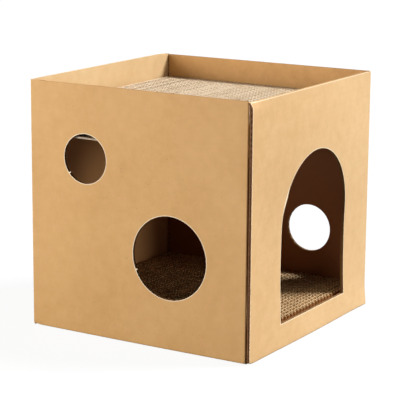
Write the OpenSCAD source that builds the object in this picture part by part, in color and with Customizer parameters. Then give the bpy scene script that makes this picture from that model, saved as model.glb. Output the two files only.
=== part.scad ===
// Cat condo: a cube of folded corrugated board with a doorway, round windows and two scratch pads.
// Millimetres, +Z up. The origin is on the ground under the middle of the cube.
// The window wall faces -Y, the door wall +X, the rear wall +Y and the left wall -X.
// Two folded sheets make the shell: left wall with window wall, and door wall with rear wall.

/* [Shell] */
// Outside width, along the window wall
shell_w = 400; // [340:1:480]
// Outside depth, along the door wall
shell_d = 400; // [340:1:480]
// Height of the walls
shell_h = 400; // [370:1:480]
// Thickness of the corrugated board
board_t = 5; // [3:0.5:6]
// Outside radius of a folded edge
fold_r = 4; // [1:0.5:5]

/* [Glue tabs] */
// Width of a glue tab
tab_w = 50; // [30:1:70]
// Thickness of a glue tab, which is crushed flat
tab_t = 3; // [1.5:0.5:4]
// Distance from a tab's ends to the rim and to the bottom flaps
tab_end_gap = 2; // [1:0.5:10]

/* [Doorway] */
// Width of the doorway
door_w = 217; // [160:1:240]
// Height of the sill above the ground
sill_h = 37.5; // [30:0.5:60]
// Height of the top of the arch above the ground
door_top = 296; // [230:1:300]
// How far the middle of the doorway lies behind the middle of its wall
door_shift = 8; // [-20:1:20]

/* [Round windows] */
// Radius of the small window
small_r = 40; // [25:1:55]
// Place of the small window across the wall
small_x = -97.5; // [-120:0.5:-60]
// Height of the centre of the small window
small_z = 284; // [270:1:300]
// Radius of the large window
large_r = 67; // [45:1:80]
// Place of the large window across the wall
large_x = 59; // [40:1:80]
// Height of the centre of the large window
large_z = 146; // [120:1:170]
// Radius of the hole in the rear wall
rear_r = 40.5; // [25:0.5:60]
// Place of the rear hole across the wall
rear_x = 93; // [60:1:100]
// Height of the centre of the rear hole
rear_z = 120; // [90:1:180]

/* [Bottom flaps] */
// Gap along the seam where two flaps meet
seam_gap = 2; // [1:0.5:6]
// Gap at the crease between an outer flap and its wall
crease_gap = 1; // [1:0.25:3]
// Gap between a flap's ends and the walls beside it
flap_end_gap = 1; // [0.5:0.25:4]

/* [Deck] */
// Depth of the top pad's surface below the rim
recess_h = 40; // [30:1:60]
// Height of the folded-up lips that are glued to the walls
lip_h = 30; // [20:1:34]
// Gap between the deck's raw edges and the walls or tabs
deck_gap = 1; // [0.5:0.25:3]

/* [Scratch pads] */
// Thickness of the top pad
top_pad_t = 42; // [36:1:50]
// Thickness of the floor pad
floor_pad_t = 30; // [20:1:45]
// Gap around a pad
pad_gap = 2.5; // [1:0.5:6]
// Thickness of one of the glued strips, with its share of the glue line
strip_t = 8; // [6:0.5:12]
// Thickness of a strip in the hollows between its flutes
strip_back_t = 1.5; // [1:0.1:3]
// Length of a flute, from crest to crest
flute_l = 10.6; // [9:0.2:14]
// Glue line between the crests of one strip and the back of the next
glue_t = 0.3; // [0.2:0.05:0.6]

/* [Hidden] */
$fn = 96;

// Overshoot of a cutter past the faces that it opens
over = 1;
half_w = shell_w / 2;
half_d = shell_d / 2;
// Half sizes between the inner faces of the walls
in_w = half_w - board_t;
in_d = half_d - board_t;
// A fold is never rounder than the board is thick
fold = min(fold_r, board_t);

// Heights, from the ground up
inner_flap_z = board_t;
floor_pad_z = inner_flap_z + board_t;
tab_z = floor_pad_z + tab_end_gap;
deck_top = shell_h - recess_h - top_pad_t;
deck_z = deck_top - board_t;

arch_r = door_w / 2;
spring_z = door_top - arch_r;

// A pad fits between the deck's lips one way and between the walls the other way
pad_w = 2 * (in_w - board_t - pad_gap);
pad_d = 2 * (in_d - pad_gap);
strips = floor(pad_w / strip_t);
strip_pitch = pad_w / strips;
flutes = floor(pad_d / flute_l);
flute_pitch = pad_d / flutes;

kraft_sun = "#e3bd8b";
kraft_side = "#d2a46c";
kraft_inside = "#c49a66";
kraft_pad = "#d9be9b";

// A box given by its lowest and highest corners
module block(low, high) {
    translate(low) cube(high - low);
}

// What rounding takes off a square edge along Z: the edge is at the origin, the material at +X and +Y
module edge_round(r, length) {
    difference() {
        translate([-over, -over, -over]) cube([r + over, r + over, length + 2 * over]);
        translate([r, r, -2 * over]) cylinder(r = r, h = length + 4 * over);
    }
}

// The rounded bottom edge of a wall that stands along X with its outside at -Y
module bottom_round(length) {
    rotate([90, 0, 90]) translate([0, 0, -length / 2]) edge_round(fold, length);
}

// A wall along X with its outside at -Y, from one end to the other, with a rounded bottom edge
module wall_panel(x_low, x_high, depth) {
    difference() {
        block([x_low, -depth, 0], [x_high, -depth + board_t, shell_h]);
        translate([(x_low + x_high) / 2, -depth, 0]) bottom_round(x_high - x_low);
    }
}

// A wall with a fold at its low end and a tab fold at its high end, both rounded
module folded_wall(x_low, x_high, depth) {
    difference() {
        wall_panel(x_low, x_high, depth);
        translate([x_low, -depth, 0]) edge_round(fold, shell_h);
        translate([x_high, -depth, 0]) rotate(90) edge_round(fold, shell_h);
    }
}

// A round window through a wall along X
module window_cut(x, z, r) {
    translate([x, -half_d - over, z]) rotate([-90, 0, 0]) cylinder(r = r, h = board_t + 2 * over);
}

// The outline of the doorway, standing along X: straight jambs under a half round
module arch_cut() {
    translate([0, board_t + over, 0]) rotate([90, 0, 0]) linear_extrude(board_t + 2 * over) {
        translate([0, spring_z]) circle(arch_r);
        translate([-arch_r, sill_h]) square([door_w, spring_z - sill_h]);
    }
}

// A glue tab inside the wall at +X, next to the wall at -Y
module glue_tab() {
    block([in_w - tab_t, -in_d, tab_z], [in_w, -in_d + tab_w, shell_h - tab_end_gap]);
}

// An inner bottom flap, folded in from the wall at +X
module inner_flap() {
    block(
        [seam_gap / 2, -in_d + flap_end_gap, inner_flap_z],
        [in_w, in_d - flap_end_gap, inner_flap_z + board_t]
    );
}

// An outer bottom flap, folded in from the wall at -Y
module outer_flap() {
    block(
        [-in_w + flap_end_gap, -in_d + crease_gap, 0],
        [in_w - flap_end_gap, -seam_gap / 2, board_t]
    );
}

// The room that a glue tab takes out of the deck's corner
module tab_notch() {
    block(
        [in_w - tab_t - deck_gap, -in_d - over, deck_z - over],
        [in_w + over, -in_d + tab_w + deck_gap, deck_top + over]
    );
}

// A lip of the deck on the wall at +X, cut short beside the glue tab
module deck_lip() {
    block(
        [in_w - board_t, -in_d + tab_w + deck_gap, deck_top],
        [in_w, in_d - deck_gap, deck_top + lip_h]
    );
}

// A strip on edge along Y: a flat back at X = 0 and flutes at +X, which start on a crest or in a hollow
module fluted_strip(height, in_hollow) {
    crest = strip_pitch - glue_t;
    wave = [
        for (i = [0 : 2 * flutes])
            [(i + in_hollow) % 2 == 0 ? crest : strip_back_t, i * flute_pitch / 2]
    ];
    linear_extrude(height) polygon(concat([[0, 0]], wave, [[0, pad_d]]));
}

// A pad of glued strips side by side, with every other one shifted by half a flute
module strip_pad(height) {
    for (i = [0 : strips - 1])
        translate([i * strip_pitch - pad_w / 2, -pad_d / 2, 0]) fluted_strip(height, i % 2);
}

module window_wall() {
    color(kraft_side) difference() {
        folded_wall(-half_w, in_w, half_d);
        window_cut(small_x, small_z, small_r);
        window_cut(large_x, large_z, large_r);
    }
}

module left_wall() {
    color(kraft_side) rotate(-90) wall_panel(-half_d, in_d, half_w);
}

module near_glue_tab() {
    color(kraft_inside) glue_tab();
}

module door_wall() {
    color(kraft_sun) rotate(90) difference() {
        wall_panel(-half_d, in_d, half_w);
        translate([door_shift, -half_w, 0]) arch_cut();
    }
}

module rear_wall() {
    color(kraft_sun) rotate(180) difference() {
        folded_wall(-half_w, in_w, half_d);
        window_cut(-rear_x, rear_z, rear_r);
    }
}

module far_glue_tab() {
    color(kraft_inside) rotate(180) glue_tab();
}

module left_bottom_flap() {
    color(kraft_inside) rotate(180) inner_flap();
}

module right_bottom_flap() {
    color(kraft_inside) inner_flap();
}

module front_bottom_flap() {
    color(kraft_side) outer_flap();
}

module rear_bottom_flap() {
    color(kraft_side) rotate(180) outer_flap();
}

module deck_board() {
    color(kraft_inside) difference() {
        block([-in_w, -in_d + deck_gap, deck_z], [in_w, in_d - deck_gap, deck_top]);
        tab_notch();
        rotate(180) tab_notch();
    }
}

module deck_left_lip() {
    color(kraft_inside) rotate(180) deck_lip();
}

module deck_right_lip() {
    color(kraft_inside) deck_lip();
}

module top_pad() {
    color(kraft_pad) translate([0, 0, deck_top]) strip_pad(top_pad_t);
}

module floor_pad() {
    color(kraft_pad) translate([0, 0, floor_pad_z]) strip_pad(floor_pad_t);
}

window_wall();
left_wall();
near_glue_tab();
door_wall();
rear_wall();
far_glue_tab();
left_bottom_flap();
right_bottom_flap();
front_bottom_flap();
rear_bottom_flap();
deck_board();
deck_left_lip();
deck_right_lip();
top_pad();
floor_pad();
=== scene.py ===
# %% [markdown]
# # A cat condo of folded corrugated board
#
# Two die-cut sheets of corrugated board stand round a cabin for a cat. Each sheet is creased into two walls
# and a glue tab. A deck carries a scratch pad under the open top, and a second pad lies on the floor.
# The frame brings in the solids at their real size. Everything made below sits on them, in metres.

# %% Load the frame
import functools
import math
from dataclasses import dataclass

import bmesh
import bpy
import numpy as np
from mathutils import Matrix, Vector


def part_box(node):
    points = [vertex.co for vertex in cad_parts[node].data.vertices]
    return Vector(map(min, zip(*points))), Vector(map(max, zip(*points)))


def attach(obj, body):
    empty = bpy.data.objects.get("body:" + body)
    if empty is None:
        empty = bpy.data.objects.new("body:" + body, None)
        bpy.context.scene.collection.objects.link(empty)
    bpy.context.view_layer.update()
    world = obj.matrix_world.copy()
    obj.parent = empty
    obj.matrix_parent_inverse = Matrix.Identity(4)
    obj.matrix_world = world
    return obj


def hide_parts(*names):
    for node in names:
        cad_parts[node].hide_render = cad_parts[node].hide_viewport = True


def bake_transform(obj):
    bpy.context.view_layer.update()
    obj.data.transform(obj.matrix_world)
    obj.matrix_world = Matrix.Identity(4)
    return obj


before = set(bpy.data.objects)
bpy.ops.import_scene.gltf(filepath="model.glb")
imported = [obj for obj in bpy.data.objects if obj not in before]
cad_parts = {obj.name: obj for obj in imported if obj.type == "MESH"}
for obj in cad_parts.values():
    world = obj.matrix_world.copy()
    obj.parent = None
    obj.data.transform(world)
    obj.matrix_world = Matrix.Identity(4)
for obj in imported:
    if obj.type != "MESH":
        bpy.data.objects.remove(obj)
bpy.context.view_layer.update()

# %% [markdown]
# ## Sizes
#
# The outer sizes come from the solids. What a solid of plain board can't hold is named here: the paper, the
# flutes between the papers and the tight folds. The holes could be taken from the solids too, but they were
# measured once more after the solids were made. They lie within about 2 mm of the solids' holes, and the top
# of the doorway is 3.5 mm higher.

# %% Sizes of the shell
MM = 0.001
X, Y, Z = 0, 1, 2
left_low, left_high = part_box("left_wall")
HALF = -left_low.x
BOARD = left_high.x - left_low.x
RIM = left_high.z
WIDTH = 2 * HALF
# A sheet of paper, and a flute from crest to crest
PAPER = 0.5 * MM
FLUTE = 8.8 * MM
# Outside radii of a fold between two walls, of a tab's fold and of a lower edge
FOLD = 1.5 * MM
TAB_FOLD = 2 * MM
LOWER_FOLD = 3 * MM
# The tightest turn of a paper on the inside of a fold
SMALL_FOLD = 0.5 * MM
# How deep the middle of the outer and of the inner liner lies below a wall's face
OUTER_PAPER = PAPER / 2
INNER_PAPER = BOARD - PAPER / 2
print(f"shell {WIDTH:.3f} m wide, {RIM:.3f} m high, board {BOARD / MM:.1f} mm")

# %% Places of the round holes and of the doorway


@dataclass
class Hole:
    """A round hole: its middle across the wall and up it, and its radius."""

    across: float
    up: float
    radius: float


SMALL_WINDOW = Hole(across=-95.7 * MM, up=285 * MM, radius=39.5 * MM)
LARGE_WINDOW = Hole(across=59.6 * MM, up=146.9 * MM, radius=66 * MM)
REAR_HOLE = Hole(across=93 * MM, up=121 * MM, radius=40.5 * MM)
DOOR_MIDDLE = 9.5 * MM
DOOR_HALF = 108 * MM
SILL = 39.5 * MM
DOOR_TOP = 299.5 * MM
# The height at which the straight jambs turn into the arch
SPRING = DOOR_TOP - DOOR_HALF
print(f"doorway {2 * DOOR_HALF / MM:.0f} mm wide and {(DOOR_TOP - SILL) / MM:.0f} mm high")

# %% [markdown]
# ## Shader maths as plain expressions
#
# A finish is a graph of small nodes. To keep it readable, a wire stands for one socket, and plus, minus and
# times on wires add the Math nodes. Every other kind of node comes from one method of the graph.

# %% Wires


class Wire:
    """One output socket. Arithmetic on it adds Math nodes to the same tree."""

    def __init__(self, tree, socket):
        self.tree = tree
        self.socket = socket

    def math(self, operation, *values):
        node = self.tree.nodes.new("ShaderNodeMath")
        node.operation = operation
        for slot, value in zip(node.inputs, values):
            connect(self.tree, slot, value)
        return Wire(self.tree, node.outputs[0])

    def __add__(self, other):
        return self.math("ADD", self, other)

    def __radd__(self, other):
        return self.math("ADD", other, self)

    def __sub__(self, other):
        return self.math("SUBTRACT", self, other)

    def __rsub__(self, other):
        return self.math("SUBTRACT", other, self)

    def __mul__(self, other):
        return self.math("MULTIPLY", self, other)

    def __rmul__(self, other):
        return self.math("MULTIPLY", other, self)

    def __truediv__(self, other):
        return self.math("DIVIDE", self, other)

    def __rtruediv__(self, other):
        return self.math("DIVIDE", other, self)

    def sine(self):
        return self.math("SINE", self)

    def root(self):
        return self.math("SQRT", self)

    def at_least(self, other):
        return self.math("MAXIMUM", self, other)

    def at_most(self, other):
        return self.math("MINIMUM", self, other)

    def ramp(self, low, high):
        """0 below low, 1 above high, and a straight rise between them."""
        return ((self - low) / (high - low)).at_least(0).at_most(1)


def connect(tree, slot, value):
    """Links a wire to an input socket, or writes a plain value into it."""
    if isinstance(value, Wire):
        tree.links.new(value.socket, slot)
    else:
        slot.default_value = value


# %% Graphs and finishes
# The sockets of a Mix node that mixes colours: the share, the two colours and the result
MIX_SHARE, MIX_FIRST, MIX_SECOND, MIX_RESULT = 0, 6, 7, 2


class Graph:
    """A node tree, with one method that adds any node."""

    def __init__(self, tree):
        self.tree = tree

    def node(self, kind, settings=(), inputs=(), output=0):
        """Adds a node, sets it up, feeds its sockets and gives one of its outputs."""
        made = self.tree.nodes.new(kind)
        for key, value in dict(settings).items():
            setattr(made, key, value)
        for key, value in dict(inputs).items():
            connect(self.tree, made.inputs[key], value)
        return Wire(self.tree, made.outputs[output])

    def outputs(self, wire, *names):
        """Several outputs of the node that a wire comes from."""
        return [Wire(self.tree, wire.socket.node.outputs[name]) for name in names]

    def mix(self, share, first, second):
        """A colour between two colours."""
        inputs = {MIX_SHARE: share, MIX_FIRST: first, MIX_SECOND: second}
        return self.node("ShaderNodeMix", {"data_type": "RGBA"}, inputs, MIX_RESULT)


class Finish(Graph):
    """A material under construction."""

    def __init__(self, name):
        self.material = bpy.data.materials.new(name)
        self.material.use_nodes = True
        super().__init__(self.material.node_tree)
        self.shader = self.tree.nodes["Principled BSDF"]

    def place(self):
        """The point on the piece in the frame, and its three parts."""
        point = self.node("ShaderNodeTexCoord", output="Object")
        split = self.node("ShaderNodeSeparateXYZ", inputs={"Vector": point})
        return point, self.outputs(split, "X", "Y", "Z")

    def noise(self, point, scale, detail, stretch=(1, 1, 1)):
        """Noise of that scale, drawn out where stretch is below 1."""
        moved = self.node("ShaderNodeMapping", inputs={"Vector": point, "Scale": stretch})
        return self.node("ShaderNodeTexNoise", inputs={"Vector": moved, "Scale": scale, "Detail": detail})

    def bump(self, height):
        """The normal of a surface that is raised by a height in metres."""
        return self.node("ShaderNodeBump", inputs={"Height": height, "Distance": 1.0, "Strength": 1.0})

    def set(self, **inputs):
        """Feeds the shader's sockets and gives the material."""
        for key, value in inputs.items():
            connect(self.tree, self.shader.inputs[key.replace("_", " ")], value)
        return self.material


def tone(text):
    """A screen colour such as d0a060 as the linear colour that shaders take, by the usual screen curve."""
    screen = np.array([int(text[i : i + 2], 16) for i in (0, 2, 4)]) / 255
    linear = np.where(screen <= 0.04045, screen / 12.92, ((screen + 0.055) / 1.055) ** 2.4)
    return (*linear.tolist(), 1.0)


print("half bright on the screen is", round(tone("808080")[0], 3), "as a linear colour")

# %% [markdown]
# ## Kraft paper
#
# The liners are brown kraft paper: long pale fibres, a few dark specks, soft clouds of lighter and darker
# brown, and a faint washboard where the paper dips between the flutes. A painted sheet would need unwrapping
# and would repeat, so the paper is grown from noise in the frame's own coordinates. Below the deck the inside
# of the board is painted a darker brown, as the shade in the cabin. Where a die has cut the paper, its edge
# is scuffed, and it is painted paler as a highlight along the cut.

# %% Kraft finish
KRAFT_LIGHT = "dcb27a"
KRAFT_DARK = "cb9d62"
KRAFT_WARM = "d9a777"
KRAFT_SPECK = "8a6238"
# Scuffed pale edges, which are also painted highlights along the cut
KRAFT_WORN_HIGHLIGHT = "f6e0ba"
# Each noise as its cells in a metre and its layers of detail
CLOUDS = (9, 3)
BLOTCHES = (55, 2)
WARM_PATCHES = (93.5, 2)
SPECKS = (420, 1)
FIBRES = (700, 4)
# Fibres run up the wall, so their noise is drawn out that way
FIBRE_RUN = (1.0, 1.0, 0.25)
# What each pattern adds to the shade, and the shades of the dark and of the light tone
CLOUD_SHARE = 0.5
BLOTCH_SHARE = 0.4
FIBRE_SHARE = 0.2
WASHBOARD_SHARE = 0.006
SHADES = (0.35, 0.8)
# Where warm patches and specks begin and end in their noise, and how strong they are
WARM_RAMP = (0.5, 0.75)
WARM_SHARE = 0.35
SPECK_RAMP = (0.70, 0.76)
SPECK_SHARE = 0.4
# The edge band, scuffed with a painted highlight on the walls and painted shade on the deck: its width, the
# part of it at full colour, its strength and how ragged it is
WORN_HIGHLIGHT_WIDTH = 1.4 * MM
EDGE_FULL = 0.4
EDGE_SHARE = 0.95
RAGGED_SHARE = 0.7
NOISE_MIDDLE = 0.5
FIBRE_DEPTH = 0.05 * MM
WASHBOARD_DEPTH = 0.012 * MM
KRAFT_ROUGHNESS = 0.52
FIBRE_ROUGHNESS = 0.2
DECK_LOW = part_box("deck_board")[0].z


def kraft(
    name,
    light=KRAFT_LIGHT,
    dark=KRAFT_DARK,
    edges=None,
    edge_tone=KRAFT_WORN_HIGHLIGHT,
    width=WORN_HIGHLIGHT_WIDTH,
    cabin=None,
    painted_drift=0.0,
):
    """Kraft paper: its dark and its light tone, mixed by clouds, blotches, fibres and flutes.

    edges(x, y, z) lists the distances to cut edges, which take the edge colour over that width: on a wall
    scuffed paper with a painted highlight, on the deck painted shade. cabin is the painted shade of the paper
    below the deck, and the drift is a painted gradient of light that makes the paper paler towards the rear.
    """
    finish = Finish(name)
    point, (x, y, z) = finish.place()
    fibre = finish.noise(point, *FIBRES, FIBRE_RUN)
    cloud = finish.noise(point, *CLOUDS)
    blotch = finish.noise(point, *BLOTCHES)
    washboard = (z * (2 * math.pi / FLUTE)).sine()
    shade = cloud * CLOUD_SHARE + blotch * BLOTCH_SHARE + fibre * FIBRE_SHARE + washboard * WASHBOARD_SHARE
    # Painted light: a gradient that makes the paper paler towards the rear
    if painted_drift:
        shade = shade + y * (painted_drift / HALF)
    colour = finish.mix(shade.ramp(*SHADES), tone(dark), tone(light))
    warm = finish.noise(point, *WARM_PATCHES).ramp(*WARM_RAMP)
    colour = finish.mix(warm * WARM_SHARE, colour, tone(KRAFT_WARM))
    speck = finish.noise(point, *SPECKS).ramp(*SPECK_RAMP)
    colour = finish.mix(speck * SPECK_SHARE, colour, tone(KRAFT_SPECK))
    # Painted shade: below the deck the paper turns to the darker cabin colour
    if cabin:
        above = z.ramp(DECK_LOW, DECK_LOW + BOARD)
        colour = finish.mix(1 - above, colour, tone(cabin))
    # Along cut edges the colour turns to the edge colour: scuffed paper with a painted highlight on the
    # walls, painted shade at the deck's front edge
    if edges:
        nearest = functools.reduce(Wire.at_most, edges(x, y, z))
        ragged = nearest + (fibre - NOISE_MIDDLE) * width * RAGGED_SHARE
        edge_share = (1 - ragged.ramp(width * EDGE_FULL, width)) * EDGE_SHARE
        colour = finish.mix(edge_share, colour, tone(edge_tone))
    height = fibre * FIBRE_DEPTH + washboard * WASHBOARD_DEPTH
    roughness = KRAFT_ROUGHNESS + fibre * FIBRE_ROUGHNESS
    return finish.set(Base_Color=colour, Roughness=roughness, Normal=finish.bump(height))


print(f"a scuffed edge is {WORN_HIGHLIGHT_WIDTH / MM:.1f} mm wide")

# %% [markdown]
# ## Raw paper
#
# Flutes and cut edges show the paper without its smooth face: rougher, and with short fibres. They could
# share the kraft finish, but would then look too smooth, so they have noises of their own and no washboard.
# Close to the top pad's lower front edge, a raw finish can be darkened: painted shade in the gap in front of
# the pad.

# %% Raw finish
RAW_CLOUDS = (60, 3)
RAW_FIBRES = (910, 4)
RAW_CLOUD_SHARE = 0.6
RAW_FIBRE_SHARE = 0.5
RAW_SHADES = (0.35, 0.75)
RAW_ROUGHNESS = 0.7
# Painted shade in the gap in front of the top pad and along the deck's front edge
GAP_SHADE = "1e1008"
# How far the painted shade reaches behind an edge and above it
GAP_SHADE_REACH = 8 * MM
GAP_SHADE_RISE = 9 * MM


def fluting(name, light, dark, shaded_front=None):
    """The rougher recycled paper of flutes and cut edges: two tones, mixed by clouds and fibres.

    The last argument is a lower front edge as (y, z). What lies close behind and above it is painted dark, as
    shade in the gap in front of the pad.
    """
    finish = Finish(name)
    point, (_, y, z) = finish.place()
    fibre = finish.noise(point, *RAW_FIBRES)
    cloud = finish.noise(point, *RAW_CLOUDS)
    shade = cloud * RAW_CLOUD_SHARE + fibre * RAW_FIBRE_SHARE
    colour = finish.mix(shade.ramp(*RAW_SHADES), tone(dark), tone(light))
    # Painted shade close behind and above the front edge
    if shaded_front:
        front, bottom = shaded_front
        behind = y.ramp(front + GAP_SHADE_REACH / 2, front + 2 * GAP_SHADE_REACH)
        above = z.ramp(bottom + GAP_SHADE_RISE / 2, bottom + GAP_SHADE_RISE)
        colour = finish.mix((1 - behind) * (1 - above), colour, tone(GAP_SHADE))
    roughness = RAW_ROUGHNESS + fibre * FIBRE_ROUGHNESS
    return finish.set(Base_Color=colour, Roughness=roughness, Normal=finish.bump(fibre * FIBRE_DEPTH))


# How far the painted shade reaches up from its edge
print(f"grime reaches {GAP_SHADE_RISE / MM:.0f} mm up from its edge")

# %% [markdown]
# ## Worn edges, painted highlights and painted shade
#
# Cut edges of board scuff first, and their pale band is also a painted highlight. Along the deck's front edge
# the same band is painted shade. So the paper has to know how far it is from each of them. The edges could
# be painted by hand, but each is a circle, an arch or a straight line, and a formula finds the distance.

# %% Distances to the cut edges


def circle_edge(across, up, hole):
    """Distance outside a round hole: distance to its middle, less its radius."""
    side = across - hole.across
    rise = up - hole.up
    return (side * side + rise * rise).root() - hole.radius


def arch_edge(across, up):
    """Distance outside the doorway: jambs and arch share one formula, the sill bounds it below."""
    side = across - DOOR_MIDDLE
    rise = (up - SPRING).at_least(0)
    return ((side * side + rise * rise).root() - DOOR_HALF).at_least(SILL - up)


def window_edges(x, y, z):
    """The rims of the two windows."""
    return [circle_edge(x, z, SMALL_WINDOW), circle_edge(x, z, LARGE_WINDOW)]


def rear_edges(x, y, z):
    """The rim of the rear hole."""
    return [circle_edge(x, z, REAR_HOLE)]


def door_edges(x, y, z):
    """The doorway, the wall's upper rim and its raw end."""
    return [arch_edge(y, z), RIM - z, y + HALF]


def left_edges(x, y, z):
    """The wall's upper rim and its raw end."""
    return [RIM - z, HALF - y]


def deck_edges(x, y, z):
    """The front edge of the deck."""
    return [y + HALF - BOARD]


# %% [markdown]
# ## Which finish goes where
#
# One kraft for every wall would be shorter, but it would scuff a wall where only another has a hole. So each
# wall has its own kraft with its own worn edges, which are also painted highlights. The door wall and the
# inside of the left wall have paler tones, painted as the sheen of sunlit paper, and a painted gradient of
# light makes the door wall paler towards the rear. The inside of the rear wall is painted more orange, as
# light bounced between kraft walls, and the papers inside the cabin are painted darker below the deck, as its
# shade. The cut edges of the window wall and of the rear wall are painted dark, as the shade in their open
# flutes. The flutes are dark inside the board, and raw ends that were crushed are redder.

# %% Finishes of the pieces
# The hole rims: scuffed paper, painted near white as a highlight
RIM_WORN_HIGHLIGHT = "fff0da"
# Painted shade of the cabin below the deck, and a paler painted shade on the inside of the left wall
CABIN_PAINTED_SHADE = "8b4c15"
LEFT_CABIN_PAINTED_SHADE = "c68e54"
# A painted gradient of light that makes the door wall paler towards the rear
DOOR_PAINTED_LIGHT = 0.2
# How wide the painted shade is along the deck's front edge
DECK_SHADE_WIDTH = 11 * MM
PAPERS = {
    # The window wall's hole rims are scuffed paper painted near white as a highlight
    "window": kraft("kraft_window_wall", edges=window_edges, edge_tone=RIM_WORN_HIGHLIGHT),
    "rear": kraft("kraft_rear_wall", edges=rear_edges, edge_tone=RIM_WORN_HIGHLIGHT),
    # The door wall's paler tones are painted as the sheen of sunlit paper
    "door": kraft("kraft_door_wall", "deb782", "cda26b", edges=door_edges, painted_drift=DOOR_PAINTED_LIGHT),
    "left": kraft("kraft_left_wall", edges=left_edges),
    "plain": kraft("kraft_plain"),
    "inside": kraft("kraft_inside", cabin=CABIN_PAINTED_SHADE),
    # The inside of the left wall has paler tones, painted as the sheen of sunlit paper
    "left_inside": kraft("kraft_left_inside", "d7b98a", "c8a471", cabin=LEFT_CABIN_PAINTED_SHADE),
    # The inside of the rear wall has more orange tones, painted as light bounced between kraft walls
    "rear_inside": kraft("kraft_rear_inside", "d3a76e", "c1945a", cabin=CABIN_PAINTED_SHADE),
    # The deck's top is painted dark along its front edge, as shade in the gap in front of the pad
    "deck_top": kraft("kraft_deck_top", edges=deck_edges, edge_tone=GAP_SHADE, width=DECK_SHADE_WIDTH),
}
FLUTES = fluting("fluting_paper", "7e5826", "603e17")
CUT_PAPER = fluting("cut_paper", "d2b183", "b8955f")
# Cut edges of the window wall and the rear wall, painted dark as the shade in their open flutes
SHADED_CUT = fluting("shaded_cut_paper", "845230", "5e3618")
CUT_FLUTES = fluting("cut_fluting", "8a6230", "63441c")
CRUSHED = fluting("crushed_fluting", "a06c54", "704836")
CUT_INSIDE = fluting("cut_inner_paper", "94703a", "6c4c22")
# The deck's pressed edge: pale paper, painted paler still as a highlight
PRESSED_EDGE_HIGHLIGHT = fluting("pressed_edge", "f4e8da", "deccb8")
print("finishes:", len(bpy.data.materials))

# %% [markdown]
# ## From grids to board
#
# A sheet of paper is a grid of points. Several grids that share an edge are welded into one sheet, and
# Solidify gives it the thickness of paper. Board is three such sheets: two flat liners and a wave between
# them. The thickness could be modelled by hand, but the modifier closes every cut edge by itself and gives
# it a finish of its own.

# %% Grids and meshes


def ruled(low, high, columns):
    """Each row runs straight from its value in low to its value in high: low + share * (high - low)."""
    share = np.linspace(0, 1, columns)
    return low[:, None] + (high - low)[:, None] * share


def grid_quads(rows, columns):
    """The four corners of each cell of a grid that is counted row by row."""
    index = np.arange(rows * columns).reshape(rows, columns)
    corners = [index[:-1, :-1], index[:-1, 1:], index[1:, 1:], index[1:, :-1]]
    return np.stack(corners, axis=-1).reshape(-1, 4)


def mesh_from(name, sheets):
    """One mesh of many grids. sheets is a list of (list of grids, number of the finish)."""
    points = []
    quads = []
    finish = []
    count = 0
    for grids, number in sheets:
        for grid in grids:
            cells = grid_quads(*grid.shape[:2])
            points.append(grid.reshape(-1, 3))
            quads.append(cells + count)
            finish.append(np.full(len(cells), number))
            count += len(points[-1])
    points, quads, finish = np.concatenate(points), np.concatenate(quads), np.concatenate(finish)
    mesh = bpy.data.meshes.new(name)
    mesh.vertices.add(len(points))
    mesh.vertices.foreach_set("co", points.astype(np.float32).ravel())
    mesh.loops.add(quads.size)
    mesh.loops.foreach_set("vertex_index", quads.astype(np.int32).ravel())
    mesh.polygons.add(len(quads))
    mesh.polygons.foreach_set("loop_start", np.arange(0, quads.size, 4, dtype=np.int32))
    mesh.polygons.foreach_set("material_index", finish.astype(np.int32))
    mesh.update(calc_edges=True)
    return mesh


print(f"a grid of 3 by 4 points has {len(grid_quads(3, 4))} cells")

# %% Welding and thickness
WELD = 0.01 * MM
SHARP_ANGLE = math.radians(40)
# The numbers of the sheets of a board in its list of finishes
OUTER, FLUTED, INNER, RAW = 0, 1, 2, 3


def paper_piece(name, sheets, finishes, thickness=PAPER):
    """Welds the grids and thickens them. The finishes of the cut edges are the second half of the list."""
    mesh = mesh_from(name, sheets)
    work = bmesh.new()
    work.from_mesh(mesh)
    bmesh.ops.remove_doubles(work, verts=work.verts, dist=WELD)
    work.to_mesh(mesh)
    work.free()
    for material in finishes:
        mesh.materials.append(material)
    piece = bpy.data.objects.new(name, mesh)
    bpy.context.scene.collection.objects.link(piece)
    paper = piece.modifiers.new("Paper", "SOLIDIFY")
    paper.thickness = thickness
    paper.offset = 0
    paper.use_even_offset = True
    paper.material_offset_rim = len(finishes) // 2
    solid = bpy.data.meshes.new_from_object(piece.evaluated_get(bpy.context.evaluated_depsgraph_get()))
    piece.modifiers.clear()
    piece.data = solid
    solid.shade_smooth()
    solid.set_sharp_from_angle(angle=SHARP_ANGLE)
    print(f"{name}: {len(solid.vertices)} points")
    return piece


def board_finishes(outside, inside, cut=CUT_PAPER):
    """Outer liner, flutes, inner liner and crushed flutes, and then the cut edges of the four."""
    return [outside, FLUTES, inside, CRUSHED, cut, CUT_FLUTES, CUT_INSIDE, CRUSHED]


# %% [markdown]
# ## The walls
#
# A wall has its own directions: a runs along it from its first corner, z goes up, and d goes in from its
# outer face. Real board is never quite flat, so a wall bows, sways or splays at its foot. At the near corner
# the door wall's raw end springs away from the glue tab, and only its top is pressed thin. Corners are
# nipped, tucked and dented by handling. Each of these could be pushed by hand, point by point. Here one
# placing function holds them all, so the three sheets of a board bend together.

# %% Shape of a wall
# The power that puts the fullest part of a bow a little above half height, and that of the rim's drop
BOW_RISE = 1.2
DROP_RISE = 3
# How far up the splay at the foot fades
FOOT_REACH = 60 * MM
# The pressed top of a raw end, down the wall and along it, and the reach of the spring below
CRUSH_RISE = 9 * MM
CRUSH_REACH = 14 * MM
FLARE_REACH = 35 * MM
# The nipped upper corner and the tucked lower corner
NIP_REACH = 12 * MM
NIP_RISE = 60 * MM
TUCK_RISE = 12 * MM
# The dent at the lower rear corner by the door
KICK = 2.2 * MM
KICK_REACH = 45 * MM
KICK_RISE = 34 * MM


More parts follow.
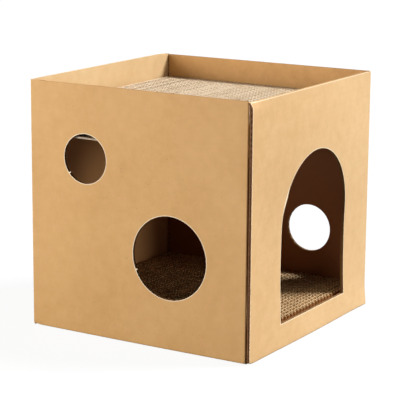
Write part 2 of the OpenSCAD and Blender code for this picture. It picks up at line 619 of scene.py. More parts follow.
def kick(flat, z):
    """The lower rear corner by the door is dented outwards: a bell curve round it, which fades upwards."""
    away = ((flat - HALF) ** 2).sum(axis=-1) / KICK_REACH**2
    share = np.exp(-away) * np.clip(1 - z / KICK_RISE, 0, 1)
    return (KICK * share)[..., None] * np.ones(2)


@dataclass
class Wall:
    """A wall from its first corner on, with the shape that handling gave it."""

    start: tuple
    along: tuple
    out: tuple
    length: float
    # A half wave and a whole wave up the wall, and the splay of its foot
    bow: float = 0.0
    sway: float = 0.0
    foot: float = 0.0
    # How far the raw end springs out, and the share of its thickness that its pressed top loses
    flare: float = 0.0
    crush: float = 0.0
    # How far the rim sinks towards the far end, and the lift of the whole sheet
    drop: float = 0.0
    lift: float = 0.0
    # How far the first upper corner is nipped down, and the first lower corner tucked up
    nip: float = 0.0
    tuck: float = 0.0
    tuck_reach: float = 1.0

    def bulge(self, a, z):
        """A half wave along the wall, times bow, sway and foot up it.

        The bow is a half wave, the sway a whole wave, and the foot fades upwards.
        """
        up = np.clip(z / RIM, 0, 1) ** BOW_RISE
        rise = self.bow * np.sin(np.pi * up) - self.sway * np.sin(2 * np.pi * up)
        return np.sin(np.pi * np.clip(a / WIDTH, 0, 1)) * (rise + self.foot * np.exp(-z / FOOT_REACH))

    def height(self, a, z):
        """z + lift - drop - nip + tuck.

        The drop grows evenly along the rim. Nip and tuck fade away from the first corner.
        """
        sunk = self.drop * a / WIDTH * np.clip(z / RIM, 0, 1) ** DROP_RISE
        nipped = self.nip * np.exp(-a / NIP_REACH) * np.clip(1 - (RIM - z) / NIP_RISE, 0, 1)
        tucked = self.tuck * np.exp(-a / self.tuck_reach) * np.clip(1 - z / TUCK_RISE, 0, 1)
        return z + self.lift - sunk - nipped + tucked

    def place(self, a, z, d):
        """start + a * along + (bulge + spring - depth) * out, at its height.

        The raw end springs out. Its top doesn't, and is pressed towards the inner face.
        """
        a, z, d = np.broadcast_arrays(a, z, d)
        high = np.clip((z - RIM + CRUSH_RISE) / CRUSH_RISE, 0, 1)
        high = high**2 * (3 - 2 * high)
        pressed = self.crush * high * np.exp(-((a / CRUSH_REACH) ** 2))
        spring = self.flare * (1 - high) * np.exp(-a / FLARE_REACH)
        depth = d + (BOARD - d) * pressed
        outwards = self.bulge(a, z) + spring - depth
        flat = np.array(self.start) + a[..., None] * np.array(self.along)
        flat = flat + outwards[..., None] * np.array(self.out)
        return np.concatenate([flat + kick(flat, z), self.height(a, z)[..., None]], axis=-1)


# %% [markdown]
# ## The four walls
#
# The first sheet, left wall and window wall, stands a little higher than the second, because the two were
# glued by hand. The doorway weakens the door wall, which leans in beside the jambs and out above the arch.

# %% Four walls
FIRST_LIFT = 1.2 * MM
left_wall = Wall(
    start=(-HALF, HALF),
    along=(0, -1),
    out=(-1, 0),
    length=WIDTH,
    bow=-1 * MM,
    drop=-1 * MM,
    lift=FIRST_LIFT,
    nip=1.7 * MM,
)
window_wall = Wall(
    start=(-HALF, -HALF),
    along=(1, 0),
    out=(0, -1),
    length=WIDTH - BOARD,
    bow=0.6 * MM,
    foot=1.5 * MM,
    lift=FIRST_LIFT,
    tuck=3 * MM,
    tuck_reach=2.5 * MM,
)
door_wall = Wall(
    start=(HALF, -HALF),
    along=(0, 1),
    out=(1, 0),
    length=WIDTH,
    sway=3.5 * MM,
    foot=3.5 * MM,
    flare=3 * MM,
    crush=0.36,
    tuck=3.7 * MM,
    tuck_reach=7 * MM,
)
rear_wall = Wall(
    start=(HALF, HALF),
    along=(-1, 0),
    out=(0, 1),
    length=WIDTH - BOARD,
    bow=0.8 * MM,
    drop=1.4 * MM,
)
print(f"the door wall sways {door_wall.sway / MM:.1f} mm, its raw end springs {door_wall.flare / MM:.1f} mm")

# %% [markdown]
# ## Holes in a wall
#
# A hole could be cut out afterwards, which leaves a ragged mesh. Instead, in every row of the grid the hole
# covers a stretch of the wall, so one grid is ruled from the wall's end to the hole's near side and one from
# its far side to the other end. Rows without a hole meet on a line. Rows crowd together where a round hole
# begins and ends, as the sine of an even angle does.

# %% Rows and the stretch that a hole covers
HALF_TURN_STEPS = 40


def round_rows(hole):
    """Heights over a round hole: middle + radius * sin(angle), with even steps of the angle."""
    return hole.up + hole.radius * np.sin(np.linspace(-np.pi / 2, np.pi / 2, HALF_TURN_STEPS + 1))


def half_width(z, middle, radius):
    """Half the width of a circle at a height."""
    return np.sqrt(np.clip(radius**2 - (z - middle) ** 2, 0, None))


def stretches(z, holes):
    """Start and end of the hole in each row: line - half width and line + half width.

    Between two holes, the line on which the two grids meet slides from one hole to the next.
    """
    order = sorted(holes, key=lambda hole: hole.up)
    heights = [hole.up + side * hole.radius for hole in order for side in (-1, 1)]
    line = np.interp(z, heights, [hole.across for hole in order for _ in (-1, 1)])
    half = sum(half_width(z, hole.up, hole.radius) for hole in order)
    return line - half, line + half


def fill_rows(*stops):
    """Even rows between stops that are given as (low, high, count), and exact rows given as arrays."""
    rows = [np.linspace(*stop) if isinstance(stop, tuple) else stop for stop in stops]
    rows = np.sort(np.concatenate(rows))
    return rows[np.concatenate([[True], np.diff(rows) > WELD])]


print(f"the small window has {len(round_rows(SMALL_WINDOW))} rows")

# %% [markdown]
# ## Flutes and turned edges
#
# Between the liners runs a wave of paper. Bump on a flat sheet wouldn't show at a cut edge, so the wave is a
# real sheet: a sine of the height, carried along the wall. Where board is creased, its papers go round the
# edge in a quarter turn, the inner one more tightly.

# %% Flutes and quarter turns
FLUTE_STEPS = 8
# The middle of a crest lies this deep: under the liner, with half its own paper and a little glue
CREST_DEPTH = 1.6 * PAPER
# Where the wave starts above the ground and stops below the rim
FLUTE_START = 0.6 * MM
FLUTE_STOP = 0.3 * MM
TURN_STEPS = 6
FLUTE_ROWS = np.arange(FLUTE_START, RIM - FLUTE_STOP, FLUTE / FLUTE_STEPS)
BOTTOM_TURN = np.linspace(np.pi / 2, 0, TURN_STEPS + 1)


def flute_depth(z):
    """The wave between the liners: the middle of the board plus a sine along the height."""
    swing = BOARD / 2 - CREST_DEPTH
    return BOARD / 2 + swing * np.sin(2 * np.pi * z / FLUTE)


def turned(paper, angle):
    """A quarter turn of a paper round a lower edge, from below to the wall.

    Depth is middle - radius * cos(angle), and height is middle - radius * sin(angle).
    """
    radius = max(LOWER_FOLD - paper, SMALL_FOLD)
    middle = paper + radius
    return middle - radius * np.cos(angle), middle - radius * np.sin(angle)


def fold_end(paper):
    """How far from the corner line the flat part of a paper begins."""
    return paper + max(FOLD - paper, SMALL_FOLD)


print(f"{len(FLUTE_ROWS)} rows for the flutes of a wall")

# %% [markdown]
# ## Doorway
#
# The doorway has straight jambs under a half round. Its near haunch is a little flat, where the die cut it
# short. It could be cut out too, but as five grids, three below the sill and one on either side above it, the
# wall keeps clean rows.

# %% Outline of the doorway
WALL_COLUMNS = 15
SILL_ROWS = 6
JAMB_ROWS = 14
ARCH_ROWS = 40
HEAD_ROWS = 14
# The flat haunch: how deep, at what height, and how far it fades up and down
HAUNCH = 3.3 * MM
HAUNCH_HEIGHT = 234 * MM
HAUNCH_REACH = 15 * MM
# How far the crushed flutes lie behind the cut
CUT_SINK = 0.6 * MM
arch_rows = SPRING + DOOR_HALF * np.sin(np.linspace(0, np.pi / 2, ARCH_ROWS))
door_rows = fill_rows((0, SILL, SILL_ROWS), (SILL, SPRING, JAMB_ROWS), arch_rows, (DOOR_TOP, RIM, HEAD_ROWS))
door_flute_rows = fill_rows(FLUTE_ROWS, np.array([SILL]))


def door_stretch(z):
    """Straight jambs, then a half round. A bell curve flattens the near haunch."""
    half = half_width(np.maximum(z, SPRING), SPRING, DOOR_HALF)
    middle = DOOR_MIDDLE + HALF
    flat = HAUNCH * np.exp(-(((z - HAUNCH_HEIGHT) / HAUNCH_REACH) ** 2))
    return middle - half + flat, middle + half


def door_grids(wall, z, depth, end):
    """Five grids round the doorway, each ruled from one side to the other in its rows."""
    low = z <= SILL + WELD
    high = z >= SILL - WELD
    near, far = door_stretch(z)
    middle = DOOR_MIDDLE + HALF
    near_jamb = np.full(len(z), middle - DOOR_HALF)
    far_jamb = np.full(len(z), middle + DOOR_HALF)
    first = np.zeros(len(z))
    last = np.full(len(z), end)
    parts = [(first, near_jamb, low), (near_jamb, far_jamb, low), (far_jamb, last, low)]
    parts += [(first, near, high), (far, last, high)]
    return [
        wall.place(ruled(a[keep], b[keep], WALL_COLUMNS), z[keep, None], depth[keep, None])
        for a, b, keep in parts
    ]


def door_cut_face(wall):
    """The crushed flutes that close the cut round the doorway: its outline, carried from paper to paper."""
    z = np.concatenate([[SILL], door_rows[door_rows > SILL + WELD]])
    z = z[z < DOOR_TOP]
    near, far = door_stretch(z)
    a = np.concatenate([near - CUT_SINK, far[::-1] + CUT_SINK, near[:1] - CUT_SINK])
    up = np.concatenate([z, z[::-1], z[:1]])
    up = np.where(up > SILL + WELD, up, SILL - CUT_SINK)
    return wall.place(a[:, None], up[:, None], np.array([[OUTER_PAPER, INNER_PAPER]]))


print(f"the door wall has {len(door_rows)} rows")

# %% [markdown]
# ## Walls with a loose end
#
# The left wall and the door wall each begin with a raw end, where the board was cut and the flutes show, and
# run up to a fold. Their lower edge is rounded over, as board is at a crease. A raw end is not a clean comb,
# because the knife crushed the flutes against both liners. Each crushed flute could be modelled, but a strip
# beside each liner, which leaves only the middle open, looks the same.

# %% Left wall and door wall
WALL_ROWS = 41
# The crushed strips of a raw end: how far behind the cut they lie, and how far in they reach
RAW_SINK = 0.5 * MM
RAW_LIP = 1.7 * MM


def upright_rows(rows, paper):
    """Height and depth of the rows of an outer liner: a quarter turn at the bottom, then straight up."""
    depth, height = turned(paper, BOTTOM_TURN)
    straight = rows[rows > LOWER_FOLD + WELD]
    return np.concatenate([height, straight]), np.concatenate([depth, np.full(len(straight), paper)])


def plain_grids(wall, z, depth, end):
    """One grid over a wall without holes."""
    return [wall.place(np.linspace(0, end, WALL_COLUMNS)[None, :], z[:, None], depth[:, None])]


def raw_end(wall):
    """Crushed flutes along a raw end: a strip beside each liner."""
    z = np.linspace(LOWER_FOLD, RIM - PAPER, WALL_ROWS)[:, None]
    strips = (OUTER_PAPER, RAW_LIP), (BOARD - RAW_LIP, INNER_PAPER)
    return [wall.place(RAW_SINK, z, np.array([strip])) for strip in strips]


def loose_wall(name, wall, grids_of, rows, flute_rows, finishes, cut_faces=()):
    """Outer liner, flutes and inner liner of a wall that begins with a raw end."""
    z, depth = upright_rows(rows, OUTER_PAPER)
    outer = grids_of(wall, z, depth, wall.length - fold_end(OUTER_PAPER))
    flutes = grids_of(wall, flute_rows, flute_depth(flute_rows), wall.length - BOARD)
    deep = np.full(len(rows), INNER_PAPER)
    inner = grids_of(wall, rows, deep, wall.length - fold_end(INNER_PAPER))
    sheets = [(outer, OUTER), (flutes + list(cut_faces), FLUTED), (inner, INNER), (raw_end(wall), RAW)]
    return paper_piece(name, sheets, finishes)


left_rows = fill_rows((0, RIM, WALL_ROWS))
left_finishes = board_finishes(PAPERS["left"], PAPERS["left_inside"])
left_board = loose_wall("left_wall_board", left_wall, plain_grids, left_rows, FLUTE_ROWS, left_finishes)
door_finishes = board_finishes(PAPERS["door"], PAPERS["inside"])
door_board = loose_wall(
    "door_wall_board",
    door_wall,
    door_grids,
    door_rows,
    door_flute_rows,
    door_finishes,
    [door_cut_face(door_wall)],
)

# %% [markdown]
# ## Walls between two folds
#
# The window wall and the rear wall are folded at both ends: at one into the neighbouring wall, at the other
# into the glue tab. The outer liner runs round both folds. At the bottom it stops at the crease of its flap,
# because the paper of the crease is a piece of its own. A blunt die has left a torn flake at the rim of each
# window, a narrow curled scrap that is welded to the liner.

# %% Folds and flakes
CREASE_HEIGHT = 6 * MM
CORNER_STEPS = 8
FLAKE_LENGTH = 3.2 * MM
FLAKE_HALF = 1.5 * MM
FLAKE_CURL = 0.8 * MM
# The share of its width that a flake loses to its tip
FLAKE_TAPER = 0.7
FLAKE_ROWS, FLAKE_COLUMNS = 5, 4


def holed_grids(wall, z, depth, low, high, holes):
    """Two grids, one on either side of the holes."""
    start, stop = stretches(z, holes)
    ends = (np.full(len(z), low), start), (stop, np.full(len(z), high))
    return [wall.place(ruled(a, b, WALL_COLUMNS), z[:, None], depth[:, None]) for a, b in ends]


def corner_turn(fold, depth):
    """A quarter turn round an upright fold, row by row: distances to the corner and to the wall's face."""
    angle = np.linspace(0, np.pi / 2, CORNER_STEPS + 1)
    radius = np.maximum(fold - depth, WELD)[:, None]
    middle = depth[:, None] + radius
    return middle - radius * np.cos(angle), middle - radius * np.sin(angle)


def flake(wall, hole, degrees):
    """A torn scrap at the rim of a round hole: it narrows from the rim towards the middle and curls in."""
    away = np.linspace(0, 1, FLAKE_ROWS)[:, None]
    side = np.linspace(-1, 1, FLAKE_COLUMNS)[None, :]
    radius = hole.radius - FLAKE_LENGTH * away
    turn = math.radians(degrees) + side * (1 - FLAKE_TAPER * away) * FLAKE_HALF / hole.radius
    a = hole.across + radius * np.cos(turn)
    z = hole.up + radius * np.sin(turn)
    return wall.place(a, z, OUTER_PAPER + FLAKE_CURL * away**2)


def from_corner(wall, hole):
    """A hole's place along its wall, from the wall's first corner, before the sheet is lifted."""
    along = (hole.across - wall.start[X]) * wall.along[X]
    return Hole(along, hole.up - wall.lift, hole.radius)


window_holes = [from_corner(window_wall, hole) for hole in (SMALL_WINDOW, LARGE_WINDOW)]
rear_holes = [from_corner(rear_wall, REAR_HOLE)]
print("windows along their wall:", [round(hole.across / MM, 1) for hole in window_holes], "mm")

# %% Window wall and rear wall
FOLDED_ROWS = 36
# The side of each window where its flake hangs, in degrees
FLAKES = (220, 203)
tab_low, tab_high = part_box("near_glue_tab")
TAB = tab_high.x - tab_low.x


def folded_liner(wall, rows, holes):
    """The outer liner: flat beside the holes, with a quarter turn at either end and round the lower edge."""
    paper = np.full(len(rows), OUTER_PAPER)
    grids = holed_grids(wall, rows, paper, FOLD, wall.length - TAB_FOLD, holes)
    sink, rise = turned(OUTER_PAPER, BOTTOM_TURN[:-1])
    z = np.concatenate([rise, [LOWER_FOLD], rows])[:, None]
    depth = np.concatenate([sink, [OUTER_PAPER], paper])
    near, deep = corner_turn(FOLD, depth)
    grids.append(wall.place(near, z, deep))
    near, deep = corner_turn(TAB_FOLD, depth)
    grids.append(wall.place((wall.length - near)[:, ::-1], z, deep[:, ::-1]))
    return grids


def folded_wall(name, wall, holes, outside, inside, flakes=()):
    """A wall with a fold at its start, a tab fold at its end and round holes between them."""
    rounds = [round_rows(hole) for hole in holes]
    outer = folded_liner(wall, fill_rows((CREASE_HEIGHT, RIM, FOLDED_ROWS), *rounds), holes)
    outer += [flake(wall, hole, degrees) for hole, degrees in zip(holes, flakes)]
    flute_rows = FLUTE_ROWS[FLUTE_ROWS > LOWER_FOLD]
    flutes = holed_grids(wall, flute_rows, flute_depth(flute_rows), BOARD, wall.length - FOLD, holes)
    inner_rows = fill_rows((BOARD, RIM, FOLDED_ROWS), *rounds)
    deep = np.full(len(inner_rows), INNER_PAPER)
    inner = holed_grids(wall, inner_rows, deep, fold_end(INNER_PAPER), wall.length - TAB, holes)
    sheets = [(outer, OUTER), (flutes, FLUTED), (inner, INNER)]
    return paper_piece(name, sheets, board_finishes(outside, inside, SHADED_CUT))


window_board = folded_wall(
    "window_wall_board", window_wall, window_holes, PAPERS["window"], PAPERS["inside"], FLAKES
)
rear_board = folded_wall("rear_wall_board", rear_wall, rear_holes, PAPERS["rear"], PAPERS["rear_inside"])

# %% [markdown]
# ## Flat boards
#
# Glue tabs, bottom flaps, the deck and its lips are flat boards. They could be drawn one by one, but one
# function makes them all from the box of their solid: it takes the axis across the board and the axis along
# the flutes.

# %% Flat boards
# A flat board has no raw strips, so it is three sheets
FLAT_SHEETS = 3
FLAT_ROWS = 33
FLAT_COLUMNS = 13


def flat_board(name, node, across, flutes, finishes, bend=None, span=None):
    """Two liners and a wave in a solid's box. bend moves the points, span narrows the board row by row."""
    low, high = (np.array(corner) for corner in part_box(node))
    wave = X + Y + Z - across - flutes
    thickness = high[across] - low[across]
    swing = thickness / 2 - CREST_DEPTH
    flat_rows = np.linspace(low[wave], high[wave], FLAT_ROWS)
    wave_rows = np.arange(low[wave], high[wave], FLUTE / FLUTE_STEPS)

    def sheet(rows, depth):
        if span:
            start, stop = span(rows)
        else:
            start, stop = np.full(len(rows), low[flutes]), np.full(len(rows), high[flutes])
        grid = np.empty((len(rows), FLAT_COLUMNS, 3))
        grid[..., flutes] = ruled(start, stop, FLAT_COLUMNS)
        grid[..., wave] = rows[:, None]
        grid[..., across] = np.broadcast_to(depth, rows.shape)[:, None]
        return [bend(grid) if bend else grid]

    wave_depth = low[across] + thickness / 2 + swing * np.sin(2 * np.pi * (wave_rows - low[wave]) / FLUTE)
    sheets = [
        (sheet(flat_rows, low[across] + PAPER / 2), OUTER),
        (sheet(wave_rows, wave_depth), FLUTED),
        (sheet(flat_rows, high[across] - PAPER / 2), INNER),
    ]
    return paper_piece(name, sheets, finishes)


plain_board = board_finishes(PAPERS["plain"], PAPERS["plain"])

# %% [markdown]
# ## Glue tabs and bottom flaps
#
# The near tab is glued to the inside of the door wall and the far tab to the inside of the left wall. A tab
# is crushed flat before it is glued, and thins out towards its free edge. What is glued to a wall has to take
# the wall's shape, so its points go through the wall's own bulge. The bottom is closed by two inner flaps
# and, under them, two outer flaps that fold out.

# %% Glue tabs and flaps
# The share of a tab's thickness that is left, and how far in its free edge is pressed
TAB_THIN = 0.35
TAB_REACH = 14 * MM
TAB_SINK = 0.3 * MM
TAB_EDGE = tab_high.y


def with_door_bow(grid):
    """What is glued to the door wall follows its bulge, but not the spring of its raw end."""
    moved = grid.copy()
    moved[..., X] += door_wall.bulge(grid[..., Y] + HALF, grid[..., Z])
    return moved


def with_left_drop(grid):
    """What is glued to the left wall follows its bow and the drop of its rim."""
    moved = grid.copy()
    bowed = left_wall.place(HALF - grid[..., Y], grid[..., Z], 0.0)
    moved[..., X] += bowed[..., X] + HALF
    moved[..., Z] = bowed[..., Z]
    return moved


def pressed_tab(grid, side):
    """A tab's depth from its wall shrinks evenly, and by a bell curve towards its free edge."""
    moved = grid.copy()
    wall = side * (HALF - BOARD)
    press = np.exp(-(((grid[..., Y] - side * TAB_EDGE) / TAB_REACH) ** 2))
    moved[..., X] = wall + (grid[..., X] - wall) * TAB_THIN * (1 - press) + side * TAB_SINK * press
    return moved


def near_bend(grid):
    """The near tab is pressed to the door wall, at +X."""
    return with_door_bow(pressed_tab(grid, 1))


def far_bend(grid):
    """The far tab is pressed to the left wall, at -X."""
    return with_left_drop(pressed_tab(grid, -1))


# One paper for the sheets of a tab and for their cut edges
near_papers = [PAPERS["inside"]] * (2 * FLAT_SHEETS)
far_papers = [PAPERS["left_inside"]] * (2 * FLAT_SHEETS)
near_tab = flat_board("near_tab_board", "near_glue_tab", X, Y, near_papers, near_bend)
far_tab = flat_board("far_tab_board", "far_glue_tab", X, Y, far_papers, far_bend)
inner_flaps = {
    side: flat_board(f"{side}_inner_flap_board", f"{side}_bottom_flap", Z, Y, plain_board)
    for side in ("left", "right")
}
outer_flaps = {
    side: flat_board(f"{side}_outer_flap_board", f"{side}_bottom_flap", Z, X, plain_board)
    for side in ("front", "rear")
}

# %% [markdown]
# ## Deck
#
# The deck hangs between its two glued lips, so its free front edge sags a little under the pad. A die has
# pressed that edge thin, and it shows as a pale strip at the top of the small window: pale paper, painted
# paler still as a highlight, with painted shade on its upper side. A plain flat board would look too thick
# there, so its points are bent and pressed.

# %% Deck and its lips
DECK_SAG = 0.8 * MM
# The share of its thickness that the front edge loses, and how far back that reaches
EDGE_PRESS = 0.62
EDGE_REACH = 6 * MM
# The notch beside a glue tab: the tab's thickness and a gap
DECK_GAP = 1 * MM
NOTCH = TAB + DECK_GAP
LIP_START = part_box("deck_right_lip")[0].y
deck_low, deck_high = (np.array(corner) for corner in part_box("deck_board"))


def deck_bend(grid):
    """The sag is a parabola across, which fades to the rear. The front edge is pressed up to its top."""
    moved = grid.copy()
    across = grid[..., X] / deck_high[X]
    back = (grid[..., Y] - deck_low[Y]) / (deck_high[Y] - deck_low[Y])
    top = deck_high[Z] - PAPER / 2
    press = EDGE_PRESS * np.exp(-(((grid[..., Y] - deck_low[Y]) / EDGE_REACH) ** 2))
    moved[..., Z] = top + (grid[..., Z] - top) * (1 - press) - DECK_SAG * (1 - across**2) * (1 - back)
    return moved


def deck_span(y):
    """The deck's width in each row: it steps in by the notch beside each glue tab."""
    low = deck_low[X] + NOTCH * (y > -LIP_START)
    high = deck_high[X] - NOTCH * (y < LIP_START)
    return low, high


# The deck's top is painted dark at the front as shade, and its cut edges are pale paper painted paler as a
# highlight
deck_finishes = [PAPERS["inside"], FLUTES, PAPERS["deck_top"]] + [PRESSED_EDGE_HIGHLIGHT] * FLAT_SHEETS
deck = flat_board("deck_sheet", "deck_board", Z, X, deck_finishes, deck_bend, deck_span)
left_lip = flat_board("deck_left_lip_board", "deck_left_lip", X, Y, plain_board, with_left_drop)
right_lip = flat_board("deck_right_lip_board", "deck_right_lip", X, Y, plain_board, with_door_bow)

# %% [markdown]
# ## Creases of the outer flaps
#
# Between a wall and its outer flap the paper is one sheet that bends. Two stiff pieces would tear apart when
# the flap opens, so a strip of paper carries on the wall's outer liner round the lower edge to the flap.

# %% Creases
# The slot between a crease and the fold at either end of it
SLOT = 0.3 * MM
CREASE_COLUMNS = 25


def crease(name, wall):
    """A strip down the wall, a quarter turn round its lower edge and in under the flap."""
    depth, height = turned(OUTER_PAPER, BOTTOM_TURN)
    depth = np.concatenate([[CREASE_HEIGHT], depth, [OUTER_PAPER]])
    height = np.concatenate([[OUTER_PAPER], height, [CREASE_HEIGHT]])
    a = np.linspace(FOLD + SLOT, wall.length - TAB_FOLD - SLOT, CREASE_COLUMNS)
    grid = wall.place(a[None, :], height[:, None], depth[:, None])
    strip = paper_piece(name, [([grid], OUTER)], [PAPERS["plain"], CUT_PAPER])
    start = wall.place(wall.length / 2, CREASE_HEIGHT, 0.0)
    end = wall.place(wall.length / 2, 0.0, CREASE_HEIGHT)
    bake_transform(strip)


crease("front_flap_crease", window_wall)
crease("rear_flap_crease", rear_wall)

# %% [markdown]
# ## Scratch pads
#
# A scratch pad is a stack of strips of single-faced board that stand on edge: a flat liner, a wave, the next
# liner, and so on. Seen from above, the open flutes make the rough surface that cats like. A bumpy material
# would look flat from the side, so every strip is modelled. Each is cut and glued by machine and still a
# little uneven, so it has its own small shift and height. The pads are pushed to the rear, so their front
# ends stay clear of the window wall, and the top pad stands a little proud of its solid.

# %% Strips of a pad
STRIP = 8 * MM
# A flute of a pad from crest to crest, and the points on it
CELL = 10.6 * MM
CELL_STEPS = 10
LINER_COLUMNS = 25
PAD_PAPER = 1.1 * MM
# The room that a wave keeps from the liners
WAVE_CLEAR = 0.7 * PAD_PAPER
# How uneven the rear ends are, and how far the pads stop short at the front and reach back at the rear
RAGGED_REAR = 1.6 * MM
FRONT_TRIM = 5 * MM
REAR_REACH = 2 * MM


def upright(x, y, low, high):
    """A sheet on edge: a line of points in plan, carried from one height to the other."""
    z = np.array([low, high])[:, None]
    return np.stack(np.broadcast_arrays(x, y[None, :], z), axis=-1)


def pad_sheets(low, high, seed, shift, step):
    """Waves x = middle + swing * sin(2 pi y / cell + phase) and flat liners, from bottom to top of the pad.

    shift spreads the phases of the waves, and step the heights of the strips.
    """
    dice = np.random.default_rng(seed)
    strips = int((high[X] - low[X]) // STRIP)
    pitch = (high[X] - low[X]) / strips
    front = low[Y] + FRONT_TRIM
    rear = high[Y] + REAR_REACH
    swing = (pitch - PAD_PAPER) / 2 - WAVE_CLEAR
    flat = np.linspace(front, rear, LINER_COLUMNS)
    waves = []
    liners = []
    for i in range(strips):
        top = high[Z] - step * dice.random()
        phase = np.pi * i + shift * (dice.random() - 0.5)
        y = np.arange(front, rear - RAGGED_REAR * dice.random(), CELL / CELL_STEPS)
        x = low[X] + (i + 0.5) * pitch + PAD_PAPER / 2 + swing * np.sin(2 * np.pi * y / CELL + phase)
        waves.append(upright(x[None, :], y, low[Z], top))
        edge = low[X] + i * pitch + PAD_PAPER / 2
        liners.append(upright(edge, flat, low[Z], high[Z] - step * dice.random()))
    return [(liners, OUTER), (waves, FLUTED)]


print(f"a pad of {STRIP / MM:.0f} mm strips with flutes {CELL / MM:.1f} mm long")

# %% Two pads
# The top pad is painted dark along its lower front edge, as shade in the gap in front of it
PADS = {
    "top_pad": {"seed": 7, "shift": 1.2, "step": 0.65 * MM, "proud": 1.2 * MM, "shaded_front": True},
    "floor_pad": {"seed": 8, "shift": 0.8, "step": 0.8 * MM, "proud": 0.0, "shaded_front": False},
}
# The light and the dark tone of each part of a pad. The floor pad's tones are darker and more orange than the
# top pad's: painted shade of the cabin.
PAD_TONES_LIT_AND_SHADED = {
    "top_pad": {
        "liner": ("eedcc4", "dac4a4"),
        "flutes": ("ecd8bc", "d4ba96"),
        "cut": ("dac7ab", "c6ae8a"),
    },
    "floor_pad": {
        "liner": ("bc8e52", "946c3a"),
        "flutes": ("cc9858", "a87640"),
        "cut": ("d3b88e", "af8f61"),
    },
}
pads = {}
for name, look in PADS.items():
    pad_low, pad_high = (np.array(corner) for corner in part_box(name))
    pad_high[Z] += look["proud"]
    sheets = pad_sheets(pad_low, pad_high, look["seed"], look["shift"], look["step"])
    # Painted shade along the top pad's lower front edge
    shaded_front = (pad_low[Y] + FRONT_TRIM, pad_low[Z]) if look["shaded_front"] else None
    liner, flutes, cut = (
        fluting(f"{name}_{part}", light, dark, shaded_front) for part, (light, dark) in PAD_TONES_LIT_AND_SHADED[name].items()
    )
    pads[name] = paper_piece(f"{name}_strips", sheets, [liner, flutes, cut, cut], PAD_PAPER)

# %% [markdown]
# ## Riding on the frame
#
# Every piece is told which body it moves with, and the solid that it stands for is hidden.

# %% Ride and replace


def dress(piece, node, body):
    """The piece moves with its body and stands for a node, whose solid is hidden."""
    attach(piece, body)
    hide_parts(node)


walls = {
    "left_wall": left_board,
    "window_wall": window_board,
    "door_wall": door_board,
    "rear_wall": rear_board,
}
glued = {
    "near_glue_tab": near_tab,
    "far_glue_tab": far_tab,
    "deck_board": deck,
    "deck_left_lip": left_lip,
    "deck_right_lip": right_lip,
}
for node, wall in walls.items():
    dress(wall, node, "root")
for node, board in glued.items():
    dress(board, node, "root")
for side, flap in inner_flaps.items():
    dress(flap, f"{side}_bottom_flap", "root")
for side, flap in outer_flaps.items():
    dress(flap, f"{side}_bottom_flap", f"{side}_flap")
for name, pad in pads.items():
    dress(pad, name, name)
flap_count = len(inner_flaps) + len(outer_flaps)
print(f"dressed: {len(walls)} walls, {len(glued)} glued boards, {flap_count} flaps and {len(pads)} pads")

# %% [markdown]
# ## Camera
#
# The viewing angle, the distance and the lens follow from the vanishing lines of the cube's edges. They could
# be set by eye, but a cube shows every degree of error.

# %% Camera
AZIMUTH = math.radians(31.203)
ELEVATION = math.radians(12.495)
ROLL = math.radians(0.46)
CAMERA_PLACE = (1.3831, -2.2957, 0.7882)
LENS = 150.78
SENSOR = 36
level = math.cos(ELEVATION)
back = Vector((math.sin(AZIMUTH) * level, -math.cos(AZIMUTH) * level, math.sin(ELEVATION)))
view = bpy.data.cameras.new("camera")
view.lens = LENS
view.sensor_width = SENSOR
camera = bpy.data.objects.new("camera", view)
bpy.context.scene.collection.objects.link(camera)
turn = (-back).to_track_quat("-Z", "Y").to_matrix().to_4x4() @ Matrix.Rotation(ROLL, 4, "Z")
camera.matrix_world = Matrix.Translation(CAMERA_PLACE) @ turn
bpy.context.scene.camera = camera
print(f"camera {Vector(CAMERA_PLACE).length:.2f} m from the origin, lens {LENS} mm")

# %% [markdown]
# ## Lights
#
# One clear light stands behind and to the right: it lights the door wall and the pad and lets the rear rim
# throw its shadow. One lamp alone would leave the window wall flat and dark, so a warm softbox in front fills
# it. A weak light from the side shines through the doorway onto the inside of the left wall.

# %% Lights
KEY_FROM = Vector((0.49, 0.43, 0.76))
KEY_STRENGTH = 5.7
KEY_TINT = (0.96, 1.0, 1.06)
KEY_ANGLE = math.radians(20)
SIDE_FROM = Vector((1, -0.01, 0.07))
SIDE_STRENGTH = 0.6
SIDE_TINT = (1.0, 1.0, 1.0)
SIDE_ANGLE = math.radians(13)
SOFTBOX_PLACE = Vector((-1.2, -2.3, 0.8))
SOFTBOX_AIM = Vector((0, -HALF, HALF))
SOFTBOX_SIZE = 1.0
SOFTBOX_POWER = 56
SOFTBOX_TINT = (1.0, 0.92, 0.78)


def lamp(name, kind, strength, tint, towards):
    """A light that is turned so that it shines from the direction towards."""
    light = bpy.data.lights.new(name, kind)
    light.energy = strength
    light.color = tint
    stand = bpy.data.objects.new(name, light)
    stand.rotation_mode = "QUATERNION"
    stand.rotation_quaternion = towards.to_track_quat("Z", "Y")
    bpy.context.scene.collection.objects.link(stand)
    return stand


key_lamp = lamp("key", "SUN", KEY_STRENGTH, KEY_TINT, KEY_FROM)
key_lamp.data.angle = KEY_ANGLE
side_lamp = lamp("side", "SUN", SIDE_STRENGTH, SIDE_TINT, SIDE_FROM)
side_lamp.data.angle = SIDE_ANGLE
softbox = lamp("softbox", "AREA", SOFTBOX_POWER, SOFTBOX_TINT, SOFTBOX_PLACE - SOFTBOX_AIM)
softbox.data.size = SOFTBOX_SIZE
softbox.location = SOFTBOX_PLACE
softbox.visible_camera = False
print("lights:", len(bpy.data.lights))

# %% [markdown]
# ## Sky and floor
#
# A dim sky fills in the rest. A brighter one would make the background white too, but it would wash out the
# part. So the background is white only where the camera sees it: the light path tells such a ray from a ray
# of light. The floor glows white for the camera in the same way and still takes a shadow.

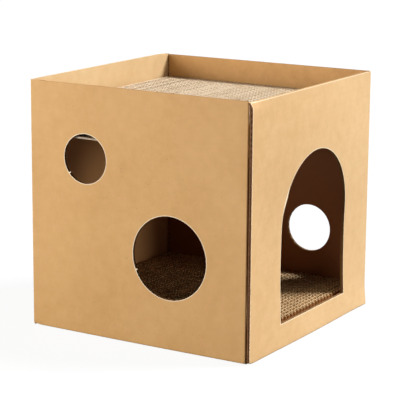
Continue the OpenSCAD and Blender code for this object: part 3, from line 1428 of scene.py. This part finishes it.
# %% Sky and floor
SKY = 0.07
WHITE = (1, 1, 1, 1)
FLOOR_SIZE = 20
# The floor lies a hair below the part, so that the two never fight for a pixel
FLOOR_DROP = 0.2 * MM
FLOOR_GLOW = 0.93
FLOOR_ROUGHNESS = 0.9
# What the camera sees, and what throws light back at the part
FLOOR_PAINT = (0.9, 0.9, 0.9, 1)
FLOOR_BOUNCE = (0.10, 0.10, 0.10, 1)


def seen_directly(graph):
    """1 where the camera sees the surface, directly or by reflection, and 0 for the light that it gives."""
    path = graph.node("ShaderNodeLightPath")
    rays = graph.outputs(path, "Is Camera Ray", "Is Glossy Ray", "Is Transmission Ray")
    return functools.reduce(Wire.at_least, rays)


world = bpy.data.worlds.new("sky")
bpy.context.scene.world = world
world.use_nodes = True
sky = world.node_tree.nodes["Background"]
sky.inputs["Color"].default_value = WHITE
connect(world.node_tree, sky.inputs["Strength"], SKY + seen_directly(Graph(world.node_tree)) * (1 - SKY))

floor_finish = Finish("white_floor")
seen = seen_directly(floor_finish)
floor_finish.set(Base_Color=floor_finish.mix(seen, FLOOR_BOUNCE, FLOOR_PAINT), Roughness=FLOOR_ROUGHNESS)
glow = floor_finish.node("ShaderNodeEmission", inputs={"Color": WHITE, "Strength": 1.0})
painted = Wire(floor_finish.tree, floor_finish.shader.outputs[0])
shown = floor_finish.node("ShaderNodeMixShader", inputs={0: seen * FLOOR_GLOW, 1: painted, 2: glow})
connect(floor_finish.tree, floor_finish.tree.nodes["Material Output"].inputs["Surface"], shown)

reach = np.array([-FLOOR_SIZE / 2, FLOOR_SIZE / 2])
floor_grid = np.stack(np.broadcast_arrays(reach[None, :], reach[:, None], -FLOOR_DROP), axis=-1)
floor = bpy.data.objects.new("floor", mesh_from("floor", [([floor_grid], OUTER)]))
floor.data.materials.append(floor_finish.material)
bpy.context.scene.collection.objects.link(floor)
bpy.context.scene.view_settings.view_transform = "Standard"
print(f"floor {FLOOR_SIZE} m wide")

# %% [markdown]
# ## Last update of the scene

# %% Finish
bpy.context.view_layer.update()
